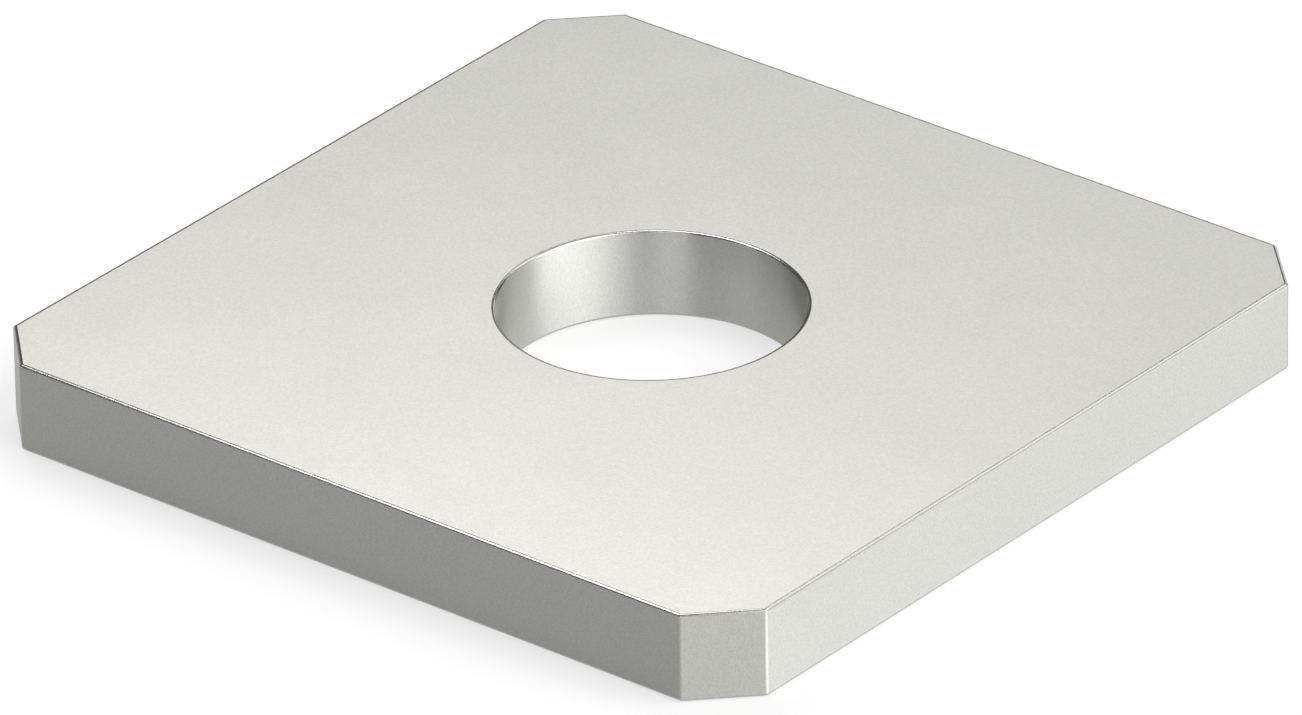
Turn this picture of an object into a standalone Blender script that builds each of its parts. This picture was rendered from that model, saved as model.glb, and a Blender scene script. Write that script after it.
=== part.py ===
"""Square plate washer: a flat steel plate with cut corners and one round bolt hole.

Sizes are in metres. The plate lies flat on its lower face with its sides along X and Y,
and the origin is on the hole's axis at the lower face.
"""

import math

import bpy

# The plate
PLATE_SIDE = 0.040
PLATE_THICKNESS = 0.004
CORNER_CUT = 0.0025  # taken off each side where a corner is cut, at 45 degrees
EDGE_RADIUS = 0.0001  # on every edge of the plate, and on both rims of the hole

# Clearance hole for a 12 mm bolt
HOLE_DIAMETER = 0.013

# Facets
HOLE_FACETS = 160
EDGE_FACETS = 3
SHARPEST_FACET = math.radians(30)  # edges that turn by less than this are part of a curve

# How far the hole's cutter stands out of each face of the plate
CUTTER_OVERRUN = 0.002

STEEL_COLOUR = (0.74, 0.74, 0.69, 1.0)
STEEL_ROUGHNESS = 0.38


def clear_scene():
    """Remove whatever the scene holds."""
    for old in list(bpy.data.objects):
        bpy.data.objects.remove(old, do_unlink=True)


def new_collection(name):
    """A collection in the scene, for the objects that belong together."""
    collection = bpy.data.collections.new(name)
    bpy.context.scene.collection.children.link(collection)
    return collection


def move_to(collection, obj):
    """Take the object out of the collections that hold it, and put it in this one."""
    for holder in list(obj.users_collection):
        holder.objects.unlink(obj)
    collection.objects.link(obj)


def satin_steel():
    """Pale satin steel."""
    material = bpy.data.materials.new("satin_steel")
    material.use_nodes = True
    shader = material.node_tree.nodes["Principled BSDF"]
    shader.inputs["Base Color"].default_value = STEEL_COLOUR
    shader.inputs["Metallic"].default_value = 1.0
    shader.inputs["Roughness"].default_value = STEEL_ROUGHNESS
    material.diffuse_color = STEEL_COLOUR
    return material


def plate_blank(collection):
    """The square plate before anything is cut: its scale is applied, so that bevels keep their width."""
    bpy.ops.mesh.primitive_cube_add(size=1.0, location=(0.0, 0.0, PLATE_THICKNESS / 2))
    plate = bpy.context.active_object
    plate.name = "plate_washer"
    plate.data.name = "plate_washer"
    plate.scale = (PLATE_SIDE, PLATE_SIDE, PLATE_THICKNESS)
    bpy.ops.object.transform_apply(location=True, rotation=False, scale=True)
    plate.data.shade_smooth()
    move_to(collection, plate)
    return plate


def is_upright(mesh, edge):
    """True for an edge that runs straight up, from the lower face to the upper one."""
    start, end = (mesh.vertices[index].co for index in edge.vertices)
    return start.xy == end.xy


def cut_corners(plate):
    """Cut the plate's four corners off at 45 degrees, down its whole thickness."""
    weights = plate.data.attributes.new("bevel_weight_edge", "FLOAT", "EDGE")
    for edge in plate.data.edges:
        weights.data[edge.index].value = 1.0 if is_upright(plate.data, edge) else 0.0
    cut = plate.modifiers.new("corner_cuts", "BEVEL")
    cut.limit_method = "WEIGHT"
    cut.offset_type = "OFFSET"
    cut.width = CORNER_CUT
    cut.segments = 1


def bolt_hole_cutter(collection):
    """A cylinder on the plate's axis that stands out of both its faces."""
    bpy.ops.mesh.primitive_cylinder_add(
        vertices=HOLE_FACETS,
        radius=HOLE_DIAMETER / 2,
        depth=PLATE_THICKNESS + 2 * CUTTER_OVERRUN,
        location=(0.0, 0.0, PLATE_THICKNESS / 2),
    )
    cutter = bpy.context.active_object
    cutter.name = "bolt_hole_cutter"
    cutter.display_type = "WIRE"
    cutter.hide_render = True
    cutter.data.shade_smooth()
    move_to(collection, cutter)
    return cutter


def cut_hole(plate, cutter):
    """Take the bolt hole out of the plate."""
    hole = plate.modifiers.new("bolt_hole", "BOOLEAN")
    hole.operation = "DIFFERENCE"
    hole.solver = "EXACT"
    hole.object = cutter


def round_edges(plate):
    """Round every edge, the hole's rims too, and keep the flat faces flat in the shading."""
    rounding = plate.modifiers.new("rounded_edges", "BEVEL")
    rounding.limit_method = "ANGLE"
    rounding.angle_limit = SHARPEST_FACET
    rounding.offset_type = "OFFSET"
    rounding.width = EDGE_RADIUS
    rounding.segments = EDGE_FACETS
    shading = plate.modifiers.new("flat_faces", "WEIGHTED_NORMAL")
    shading.mode = "FACE_AREA"


def main():
    clear_scene()
    washer_parts = new_collection("square_plate_washer")
    cutters = new_collection("cutters")
    cutters.hide_render = True
    plate = plate_blank(washer_parts)
    cut_corners(plate)
    cut_hole(plate, bolt_hole_cutter(cutters))
    round_edges(plate)
    plate.data.materials.append(satin_steel())


main()
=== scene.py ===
"""Square plate washer: its satin steel finish, and the pale stage that it lies on.

Lengths are in metres. The washer lies flat on the floor, with the hole's axis on Z.
"""

import math

import bmesh
import bpy
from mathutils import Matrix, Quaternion, Vector


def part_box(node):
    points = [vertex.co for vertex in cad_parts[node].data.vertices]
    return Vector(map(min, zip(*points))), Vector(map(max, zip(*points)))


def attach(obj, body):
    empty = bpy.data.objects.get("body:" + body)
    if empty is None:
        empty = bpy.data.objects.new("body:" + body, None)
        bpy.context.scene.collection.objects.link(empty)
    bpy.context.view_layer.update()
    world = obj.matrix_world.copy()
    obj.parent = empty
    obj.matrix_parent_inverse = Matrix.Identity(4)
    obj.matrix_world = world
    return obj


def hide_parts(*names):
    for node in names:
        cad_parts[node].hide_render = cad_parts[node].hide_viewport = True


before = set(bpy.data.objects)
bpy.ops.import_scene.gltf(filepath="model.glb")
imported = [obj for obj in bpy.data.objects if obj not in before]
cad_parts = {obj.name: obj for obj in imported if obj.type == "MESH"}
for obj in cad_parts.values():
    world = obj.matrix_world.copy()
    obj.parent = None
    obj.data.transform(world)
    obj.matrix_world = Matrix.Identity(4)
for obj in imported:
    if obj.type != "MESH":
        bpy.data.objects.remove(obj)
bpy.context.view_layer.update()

bl_info = {
    "name": "Square Plate Washer",
    "version": (1, 0, 0),
    "blender": (4, 5, 0),
    "location": "3D View > Sidebar > Plate Washer",
    "description": "Builds a square plate washer in satin steel, and the pale stage that it lies on",
    "category": "Add Mesh",
}

SOLID_NAME = "plate_washer"

# Mesh detail
HOLE_FACETS = 288  # facets round the hole
EDGE_FACETS = 6  # facets across each rounding
SHARPEST_FACET = math.radians(30)  # edges that turn by less than this are part of a curve
DRILL_OVERRUN = 0.002  # how far the drill stands out of each face of the plate
TOUCH = 1e-6  # two lengths closer than this are the same
FLAT = 0.9999  # the normal of a level face rises or falls more than this
UPRIGHT = 0.01  # the normal of an upright face rises or falls less than this
# painted shade: the upper edges picked by this threshold get the glossy edge finish, painted darker to
# draw dark lines along them
EDGE_SHADE_RISE = 0.5  # an upper edge is burnished where its normal rises more than this

# Steel grain
NOISE_LOW = 0.3  # most of the noise's values lie between these two
NOISE_HIGH = 0.7
NOISE_ROUGHNESS = 0.6
GRAIN_DETAIL = 1.0
CLOUD_DETAIL = 2.0
GRAIN_TINT = 0.06  # the grain makes the steel's colour darker or lighter by up to this share
CLOUD_TINT = 0.004  # and so do the clouds, by this one
CLOUD_MATT = 0.02  # the clouds make the steel glossier or more matt by up to this share
MARK_STRENGTH = 1.0  # how far drawn marks stretch a reflection, from 0 to 1
MARK_TURN = 0.25  # a quarter turn, so that they stretch it up and down

# Material slots of the washer
FACE_SLOT = 0
SIDE_SLOT = 1
BORE_SLOT = 2
SHADED_EDGE_SLOT = 3


def solid_sizes():
    """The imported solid's side, thickness, corner cut and hole diameter."""
    low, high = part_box(SOLID_NAME)
    side = high.x - low.x
    points = [vertex.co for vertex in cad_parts[SOLID_NAME].data.vertices]
    corner_cut = side - max(abs(point.x) + abs(point.y) for point in points)
    hole_diameter = 2 * min(point.xy.length for point in points)
    return side, high.z - low.z, corner_cut, hole_diameter


SIDE, THICKNESS, CORNER_CUT, HOLE_DIAMETER = solid_sizes()


class WasherSizes(bpy.types.PropertyGroup):
    """The washer's sizes. Side, thickness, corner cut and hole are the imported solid's own."""

    side: bpy.props.FloatProperty(
        name="Side",
        description="Width of the square plate",
        default=SIDE,
        min=0.01,
        subtype="DISTANCE",
    )
    thickness: bpy.props.FloatProperty(
        name="Thickness",
        description="Thickness of the plate",
        default=THICKNESS,
        min=0.001,
        subtype="DISTANCE",
    )
    corner_cut: bpy.props.FloatProperty(
        name="Corner cut",
        description="Length taken off each side where a corner is cut, at 45 degrees",
        default=CORNER_CUT,
        min=0.0,
        subtype="DISTANCE",
    )
    hole_diameter: bpy.props.FloatProperty(
        name="Hole",
        description="Diameter of the bolt hole",
        default=HOLE_DIAMETER,
        min=0.001,
        subtype="DISTANCE",
    )
    edge_radius: bpy.props.FloatProperty(
        name="Edge radius",
        description="Rounding round both flat faces, and of both rims of the hole",
        default=0.00012,
        min=0.0,
        subtype="DISTANCE",
    )
    # painted shade: the rim takes the glossy edge finish, painted darker as a dark line along the upper
    # face's edges
    rim_width: bpy.props.FloatProperty(
        name="Rim width",
        description="Width of the burnished rim along the edges of the upper face",
        default=0.00005,
        min=0.0,
        subtype="DISTANCE",
    )
    corner_rounding: bpy.props.FloatProperty(
        name="Corner rounding",
        description="Length taken off each side where an upright edge is rounded",
        default=0.00009,
        min=0.0,
        subtype="DISTANCE",
    )


def steel_colour(name, default):
    """A colour setting of the steel finish."""
    return bpy.props.FloatVectorProperty(
        name=name,
        description="Colour of the steel there",
        default=default,
        min=0.0,
        max=1.0,
        size=3,
        subtype="COLOR",
    )


def steel_roughness(name, default):
    """A roughness setting of the steel finish."""
    return bpy.props.FloatProperty(
        name=name,
        description="Roughness of the steel there, from mirror to matt",
        default=default,
        min=0.0,
        max=1.0,
        subtype="FACTOR",
    )


class SteelFinish(bpy.types.PropertyGroup):
    """The finish of the steel."""

    face_colour: steel_colour("Face colour", (0.75, 0.75, 0.70))
    face_roughness: steel_roughness("Face roughness", 0.40)
    side_colour: steel_colour("Side colour", (0.74, 0.74, 0.705))
    side_roughness: steel_roughness("Side roughness", 0.75)
    bore_colour: steel_colour("Bore colour", (0.73, 0.73, 0.70))
    bore_roughness: steel_roughness("Bore roughness", 0.50)
    # painted shade: the edges are coloured darker than the faces, to draw dark lines along them
    edge_shade_colour: steel_colour("Edge colour", (0.46, 0.46, 0.435))
    edge_roughness: steel_roughness("Edge roughness", 0.12)
    grain_size: bpy.props.FloatProperty(
        name="Grain size",
        description="Width of one grain of the satin finish",
        default=0.00009,
        min=0.00001,
        subtype="DISTANCE",
    )
    grain_depth: bpy.props.FloatProperty(
        name="Grain depth",
        description="Depth of the satin grain",
        default=0.000005,
        min=0.0,
        subtype="DISTANCE",
    )
    cloud_size: bpy.props.FloatProperty(
        name="Cloud size",
        description="Width of the faint clouds in the finish",
        default=0.004,
        min=0.0001,
        subtype="DISTANCE",
    )


class WasherStage(bpy.types.PropertyGroup):
    """The floor, the lamps and the camera."""

    floor_size: bpy.props.FloatProperty(
        name="Floor",
        description="Width of the square floor",
        default=6.0,
        min=0.1,
        subtype="DISTANCE",
    )
    floor_colour: bpy.props.FloatVectorProperty(
        name="Floor colour",
        description="Colour of the floor",
        default=(0.9, 0.9, 0.9),
        min=0.0,
        max=1.0,
        size=3,
        subtype="COLOR",
    )
    floor_glow: bpy.props.FloatProperty(
        name="Floor glow",
        description="Share of the floor round the washer that shows plain white, and takes no shadow",
        default=0.6,
        min=0.0,
        max=1.0,
        subtype="FACTOR",
    )
    camera_azimuth: bpy.props.FloatProperty(
        name="Camera azimuth",
        description="Direction of the camera round the washer, from -Y towards +X",
        default=math.radians(39.2085),
        subtype="ANGLE",
    )
    camera_elevation: bpy.props.FloatProperty(
        name="Camera elevation",
        description="Height of the camera over the horizon",
        default=math.radians(28.3468),
        subtype="ANGLE",
    )
    camera_roll: bpy.props.FloatProperty(
        name="Camera roll",
        description="Clockwise turn of the camera",
        default=math.radians(0.9192),
        subtype="ANGLE",
    )
    camera_distance: bpy.props.FloatProperty(
        name="Camera distance",
        description="Distance from the aim to the camera",
        default=0.70515,
        subtype="DISTANCE",
    )
    camera_aim: bpy.props.FloatVectorProperty(
        name="Camera aim",
        description="The point at the middle of the picture",
        default=(0.0005452, -0.0007561, 0.002),
        size=3,
        subtype="TRANSLATION",
    )
    camera_lens: bpy.props.FloatProperty(
        name="Lens",
        description="Focal length in millimetres",
        default=468.32,
        min=1.0,
        subtype="DISTANCE_CAMERA",
    )


def deselect_all():
    bpy.ops.object.select_all(action="DESELECT")


def select_edges(obj, test):
    """In edit mode, select the edges that pass the test, and no others."""
    bpy.ops.mesh.select_mode(type="EDGE")
    bpy.ops.mesh.select_all(action="DESELECT")
    mesh = bmesh.from_edit_mesh(obj.data)
    for edge in mesh.edges:
        edge.select_set(test(edge))
    bmesh.update_edit_mesh(obj.data)


def is_upright(edge):
    """True for an edge that runs straight up, from the lower face to the upper one."""
    start, end = (point.co for point in edge.verts)
    return (start.xy - end.xy).length < TOUCH


def is_level(edge):
    """True for an edge of the lower or the upper face."""
    return not is_upright(edge)


def plate_blank(sizes):
    """The square plate, with its four corners cut off at 45 degrees and every edge rounded."""
    deselect_all()
    bpy.ops.mesh.primitive_cube_add(
        size=1.0,
        location=(0.0, 0.0, sizes.thickness / 2),
        scale=(sizes.side, sizes.side, sizes.thickness),
    )
    plate = bpy.context.active_object
    plate.name = "square_washer"
    plate.data.name = "square_washer"
    bpy.ops.object.transform_apply(location=True, rotation=True, scale=True)
    bpy.ops.object.mode_set(mode="EDIT")
    select_edges(plate, is_upright)
    bpy.ops.mesh.bevel(offset=sizes.corner_cut, offset_type="OFFSET", segments=1, affect="EDGES")
    select_edges(plate, is_upright)
    bpy.ops.mesh.bevel(
        offset=sizes.corner_rounding, offset_type="OFFSET", segments=EDGE_FACETS, affect="EDGES"
    )
    select_edges(plate, is_level)
    bpy.ops.mesh.bevel(
        offset=sizes.edge_radius,
        offset_type="OFFSET",
        segments=EDGE_FACETS,
        affect="EDGES",
        clamp_overlap=False,
    )
    bpy.ops.object.mode_set(mode="OBJECT")
    return plate


def apply_modifier(obj, modifier):
    """Apply a modifier, with its object alone selected."""
    deselect_all()
    obj.select_set(True)
    bpy.context.view_layer.objects.active = obj
    bpy.ops.object.modifier_apply(modifier=modifier.name)


def drill_hole(plate, sizes):
    """Take the bolt hole out of the plate."""
    deselect_all()
    bpy.ops.mesh.primitive_cylinder_add(
        vertices=HOLE_FACETS,
        radius=sizes.hole_diameter / 2,
        depth=sizes.thickness + 2 * DRILL_OVERRUN,
        location=(0.0, 0.0, sizes.thickness / 2),
    )
    drill = bpy.context.active_object
    hole = plate.modifiers.new("bolt_hole", "BOOLEAN")
    hole.operation = "DIFFERENCE"
    hole.solver = "EXACT"
    hole.object = drill
    apply_modifier(plate, hole)
    bpy.data.objects.remove(drill, do_unlink=True)


def round_hole(plate, sizes):
    """Round both edges of the hole, the only sharp ones that are left."""
    plate.data.shade_smooth()
    rounding = plate.modifiers.new("rounded_rims", "BEVEL")
    rounding.limit_method = "ANGLE"
    rounding.angle_limit = SHARPEST_FACET
    rounding.offset_type = "OFFSET"
    rounding.width = sizes.edge_radius
    rounding.segments = EDGE_FACETS
    apply_modifier(plate, rounding)


def mark_rim(plate, sizes):
    """Part a narrow rim from the upper face, along the outline and round the hole.

    The face inside the rim is left selected.
    """
    bpy.context.view_layer.objects.active = plate
    bpy.ops.object.mode_set(mode="EDIT")
    bpy.ops.mesh.select_mode(type="FACE")
    bpy.ops.mesh.select_all(action="DESELECT")
    mesh = bmesh.from_edit_mesh(plate.data)
    for face in mesh.faces:
        face.select_set(face.normal.z > FLAT)
    bmesh.update_edit_mesh(plate.data)
    bpy.ops.mesh.inset(thickness=sizes.rim_width, depth=0.0)
    bpy.ops.object.mode_set(mode="OBJECT")


def finish_faces(plate, sizes):
    """Give the flat faces, the rim and rounded edges, the sides and the bore each their own finish. The
    rim and edges are glossy, and painted darker to draw painted dark lines along the edges.

    The upper face is known by its selection, which mark_rim leaves.
    """
    bore_reach = sizes.hole_diameter / 2 + sizes.edge_radius + TOUCH
    for face in plate.data.polygons:
        if face.normal.z < -FLAT or face.select:
            face.material_index = FACE_SLOT
        # painted shade: the rim, the upper roundings where they face up and all lower roundings take
        # the darker edge colour, a painted dark line along each edge
        elif face.normal.z > EDGE_SHADE_RISE or face.normal.z < -UPRIGHT:
            face.material_index = SHADED_EDGE_SLOT
        elif face.center.xy.length > bore_reach:
            face.material_index = SIDE_SLOT
        else:
            face.material_index = BORE_SLOT


def flatten_shading(plate):
    """Keep the flat faces flat in the shading, up to where the rounding starts."""
    shading = plate.modifiers.new("flat_faces", "WEIGHTED_NORMAL")
    shading.mode = "FACE_AREA"
    apply_modifier(plate, shading)


def add_noise(nodes, links, position, size, detail):
    """Even noise whose lumps are about this wide."""
    noise = nodes.new("ShaderNodeTexNoise")
    noise.inputs["Scale"].default_value = 1.0 / size
    noise.inputs["Detail"].default_value = detail
    noise.inputs["Roughness"].default_value = NOISE_ROUGHNESS
    links.new(position.outputs["Object"], noise.inputs["Vector"])
    return noise.outputs["Fac"]


def spread(nodes, links, value, low, high):
    """The noise's middle range, spread between two values."""
    stretch = nodes.new("ShaderNodeMapRange")
    stretch.inputs["From Min"].default_value = NOISE_LOW
    stretch.inputs["From Max"].default_value = NOISE_HIGH
    stretch.inputs["To Min"].default_value = low
    stretch.inputs["To Max"].default_value = high
    links.new(value, stretch.inputs["Value"])
    return stretch.outputs["Result"]


def add_math(nodes, links, operation, first, second):
    """Two values joined by a product, a maximum or the like."""
    joined = nodes.new("ShaderNodeMath")
    joined.operation = operation
    links.new(first, joined.inputs[0])
    links.new(second, joined.inputs[1])
    return joined.outputs["Value"]


def steel(name, colour, roughness, finish):
    """Satin steel. Its fine even grain tints it and stands out of it a little."""
    material = bpy.data.materials.new(name)
    material.use_nodes = True
    nodes = material.node_tree.nodes
    links = material.node_tree.links
    shader = nodes["Principled BSDF"]
    shader.inputs["Metallic"].default_value = 1.0
    position = nodes.new("ShaderNodeTexCoord")
    grain = add_noise(nodes, links, position, finish.grain_size, GRAIN_DETAIL)
    clouds = add_noise(nodes, links, position, finish.cloud_size, CLOUD_DETAIL)

    speckle = spread(nodes, links, grain, 1.0 - GRAIN_TINT, 1.0 + GRAIN_TINT)
    drift = spread(nodes, links, clouds, 1.0 - CLOUD_TINT, 1.0 + CLOUD_TINT)
    shade = add_math(nodes, links, "MULTIPLY", speckle, drift)
    tint = nodes.new("ShaderNodeVectorMath")
    tint.operation = "SCALE"
    tint.inputs[0].default_value = colour
    links.new(shade, tint.inputs["Scale"])
    links.new(tint.outputs["Vector"], shader.inputs["Base Color"])

    matt = spread(nodes, links, clouds, roughness * (1.0 - CLOUD_MATT), roughness * (1.0 + CLOUD_MATT))
    links.new(matt, shader.inputs["Roughness"])

    relief = nodes.new("ShaderNodeBump")
    relief.inputs["Distance"].default_value = finish.grain_depth
    links.new(grain, relief.inputs["Height"])
    links.new(relief.outputs["Normal"], shader.inputs["Normal"])
    return material


def draw_lengthwise(material):
    """Drawn or drilled steel. Its marks run round the washer, and stretch a reflection up and down."""
    nodes = material.node_tree.nodes
    shader = nodes["Principled BSDF"]
    round_axis = nodes.new("ShaderNodeTangent")
    round_axis.direction_type = "RADIAL"
    round_axis.axis = "Z"
    shader.inputs["Anisotropic"].default_value = MARK_STRENGTH
    shader.inputs["Anisotropic Rotation"].default_value = MARK_TURN
    material.node_tree.links.new(round_axis.outputs["Tangent"], shader.inputs["Tangent"])
    return material


class PLATEWASHER_OT_build_washer(bpy.types.Operator):
    """Build the square plate washer in satin steel"""

    bl_idname = "plate_washer.build_washer"
    bl_label = "Build Washer"
    bl_options = {"REGISTER", "UNDO"}

    def execute(self, context):
        sizes = context.scene.washer_sizes
        finish = context.scene.steel_finish
        plate = plate_blank(sizes)
        drill_hole(plate, sizes)
        plate.data.materials.clear()
        face = steel("washer_face", finish.face_colour, finish.face_roughness, finish)
        side = draw_lengthwise(steel("washer_side", finish.side_colour, finish.side_roughness, finish))
        bore = draw_lengthwise(steel("washer_bore", finish.bore_colour, finish.bore_roughness, finish))
        # the edges' glossy finish, painted darker as dark lines along the edges
        edge = steel("washer_edge_painted_shade", finish.edge_shade_colour, finish.edge_roughness, finish)
        for material in (face, side, bore, edge):
            plate.data.materials.append(material)
        round_hole(plate, sizes)
        mark_rim(plate, sizes)
        finish_faces(plate, sizes)
        flatten_shading(plate)
        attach(plate, "root")
        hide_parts("plate_washer")
        return {"FINISHED"}


FLOOR_GAP = 0.00002  # the floor lies this far under the washer, so that the two never coincide

# Each soft lamp: its name, its azimuth and elevation in degrees seen from the washer, and its
# distance, width, height and brightness
LAMPS = (
    ("front_panel", 22.5, 35.0, 1.2, 0.47, 1.6, 1.0),
    ("corner_panel", 45.0, 35.0, 1.2, 0.47, 1.6, 0.25),
    ("side_panel", 67.5, 35.0, 1.2, 0.47, 1.6, 1.25),
    ("right_panel", 88.0, 35.0, 1.2, 0.38, 1.6, 2.0),
    ("bright_panel", 113.5, 35.0, 1.2, 0.71, 1.6, 3.0),
    ("back_right_panel", 149.5, 35.0, 1.2, 0.85, 1.6, 0.57),
    ("back_strip", 179.0, 43.0, 1.2, 1.5, 0.25, 1.5),
    ("low_lamp", 195.0, 16.0, 1.2, 0.3, 0.32, 1.5),
    ("low_strip", 212.0, 16.0, 1.2, 0.4, 0.3, 0.7),
    ("near_lamp", 225.0, 63.0, 0.2, 0.1, 0.1, 0.5),
    ("near_left_lamp", 240.0, 60.0, 0.2, 0.1, 0.1, 3.9),
    ("left_panel", 248.0, 12.0, 1.2, 0.36, 0.42, 0.35),
    ("edge_strip", 268.0, 57.0, 0.3, 0.25, 0.035, 3.0),
)
WORLD_BRIGHTNESS = 0.14

SHADOW_REACH = 0.04  # the floor takes the washer's shadow out to this radius
WHITE_REACH = 0.12  # it fades to plain white, and stays so from this radius on

# Camera
SENSOR_WIDTH = 36.0  # in millimetres
NEAREST_SEEN = 0.01
FARTHEST_SEEN = 10.0


def direction(azimuth, elevation):
    """The unit vector towards an azimuth, from -Y towards +X, and an elevation."""
    return Vector((
        math.sin(azimuth) * math.cos(elevation),
        -math.cos(azimuth) * math.cos(elevation),
        math.sin(elevation),
    ))


def pale_floor(stage):
    """A matt floor that takes a soft shadow.

    Where a ray sees it straight, mirrored or through glass, a share of it glows white near the
    washer, and all of it farther out.
    """
    material = bpy.data.materials.new("pale_floor")
    material.use_nodes = True
    nodes = material.node_tree.nodes
    links = material.node_tree.links
    matt = nodes["Principled BSDF"]
    matt.inputs["Base Color"].default_value = (*stage.floor_colour, 1.0)
    matt.inputs["Roughness"].default_value = 1.0
    matt.inputs["Specular IOR Level"].default_value = 0.0
    white = nodes.new("ShaderNodeEmission")
    ray = nodes.new("ShaderNodeLightPath")
    seen = add_math(nodes, links, "MAXIMUM", ray.outputs["Is Camera Ray"], ray.outputs["Is Glossy Ray"])
    seen = add_math(nodes, links, "MAXIMUM", seen, ray.outputs["Is Transmission Ray"])
    place = nodes.new("ShaderNodeTexCoord")
    radius = nodes.new("ShaderNodeVectorMath")
    radius.operation = "LENGTH"
    links.new(place.outputs["Object"], radius.inputs[0])
    fade = nodes.new("ShaderNodeMapRange")
    fade.inputs["From Min"].default_value = SHADOW_REACH
    fade.inputs["From Max"].default_value = WHITE_REACH
    fade.inputs["To Min"].default_value = stage.floor_glow
    fade.inputs["To Max"].default_value = 1.0
    links.new(radius.outputs["Value"], fade.inputs["Value"])
    share = add_math(nodes, links, "MULTIPLY", seen, fade.outputs["Result"])
    glow = nodes.new("ShaderNodeMixShader")
    links.new(share, glow.inputs["Fac"])
    links.new(matt.outputs["BSDF"], glow.inputs[1])
    links.new(white.outputs["Emission"], glow.inputs[2])
    links.new(glow.outputs["Shader"], nodes["Material Output"].inputs["Surface"])
    return material


def add_floor(stage):
    deselect_all()
    bpy.ops.mesh.primitive_plane_add(size=stage.floor_size, location=(0.0, 0.0, -FLOOR_GAP))
    floor = bpy.context.active_object
    floor.name = "floor"
    floor.data.materials.append(pale_floor(stage))


def add_lamp(name, azimuth, elevation, distance, width, height, brightness):
    """A soft rectangular lamp that faces the washer. A brightness of 1 is white."""
    towards = direction(math.radians(azimuth), math.radians(elevation))
    bpy.ops.object.light_add(type="AREA", location=towards * distance)
    lamp = bpy.context.active_object
    lamp.name = name
    lamp.rotation_euler = towards.to_track_quat("Z", "Y").to_euler()
    lamp.data.shape = "RECTANGLE"
    lamp.data.size = width
    lamp.data.size_y = height
    lamp.data.energy = brightness * math.pi * width * height
    lamp.visible_camera = False


def light_world():
    world = bpy.data.worlds.new("soft_room")
    world.use_nodes = True
    background = world.node_tree.nodes["Background"]
    background.inputs["Color"].default_value = (1.0, 1.0, 1.0, 1.0)
    background.inputs["Strength"].default_value = WORLD_BRIGHTNESS
    bpy.context.scene.world = world


def add_camera(stage):
    """The camera at the photograph's angle."""
    towards = direction(stage.camera_azimuth, stage.camera_elevation)
    bpy.ops.object.camera_add(location=Vector(stage.camera_aim) + towards * stage.camera_distance)
    camera = bpy.context.active_object
    camera.name = "camera"
    level = (-towards).to_track_quat("-Z", "Y")
    camera.rotation_euler = (level @ Quaternion((0.0, 0.0, 1.0), -stage.camera_roll)).to_euler()
    camera.data.lens = stage.camera_lens
    camera.data.sensor_width = SENSOR_WIDTH
    camera.data.clip_start = NEAREST_SEEN
    camera.data.clip_end = FARTHEST_SEEN
    bpy.context.scene.camera = camera


class PLATEWASHER_OT_set_stage(bpy.types.Operator):
    """Lay the pale floor, hang the soft lamps and set the camera"""

    bl_idname = "plate_washer.set_stage"
    bl_label = "Set Stage"
    bl_options = {"REGISTER", "UNDO"}

    def execute(self, context):
        stage = context.scene.washer_stage
        add_floor(stage)
        for lamp in LAMPS:
            add_lamp(*lamp)
        light_world()
        add_camera(stage)
        context.scene.view_settings.view_transform = "Standard"
        return {"FINISHED"}


class PLATEWASHER_PT_tools(bpy.types.Panel):
    """Sizes, finish and stage of the plate washer"""

    bl_label = "Plate Washer"
    bl_idname = "PLATEWASHER_PT_tools"
    bl_space_type = "VIEW_3D"
    bl_region_type = "UI"
    bl_category = "Plate Washer"

    def draw(self, context):
        scene = context.scene
        for title, settings, operator in (
            ("Sizes", scene.washer_sizes, None),
            ("Finish", scene.steel_finish, PLATEWASHER_OT_build_washer),
            ("Stage", scene.washer_stage, PLATEWASHER_OT_set_stage),
        ):
            box = self.layout.box()
            box.label(text=title)
            for name in settings.__annotations__:
                box.prop(settings, name)
            if operator:
                box.operator(operator.bl_idname)


CLASSES = (
    WasherSizes,
    SteelFinish,
    WasherStage,
    PLATEWASHER_OT_build_washer,
    PLATEWASHER_OT_set_stage,
    PLATEWASHER_PT_tools,
)


def register():
    for cls in CLASSES:
        bpy.utils.register_class(cls)
    bpy.types.Scene.washer_sizes = bpy.props.PointerProperty(type=WasherSizes)
    bpy.types.Scene.steel_finish = bpy.props.PointerProperty(type=SteelFinish)
    bpy.types.Scene.washer_stage = bpy.props.PointerProperty(type=WasherStage)


def unregister():
    del bpy.types.Scene.washer_stage
    del bpy.types.Scene.steel_finish
    del bpy.types.Scene.washer_sizes
    for cls in reversed(CLASSES):
        bpy.utils.unregister_class(cls)


def main():
    register()
    bpy.ops.plate_washer.build_washer()
    bpy.ops.plate_washer.set_stage()


if __name__ == "__main__":
    main()
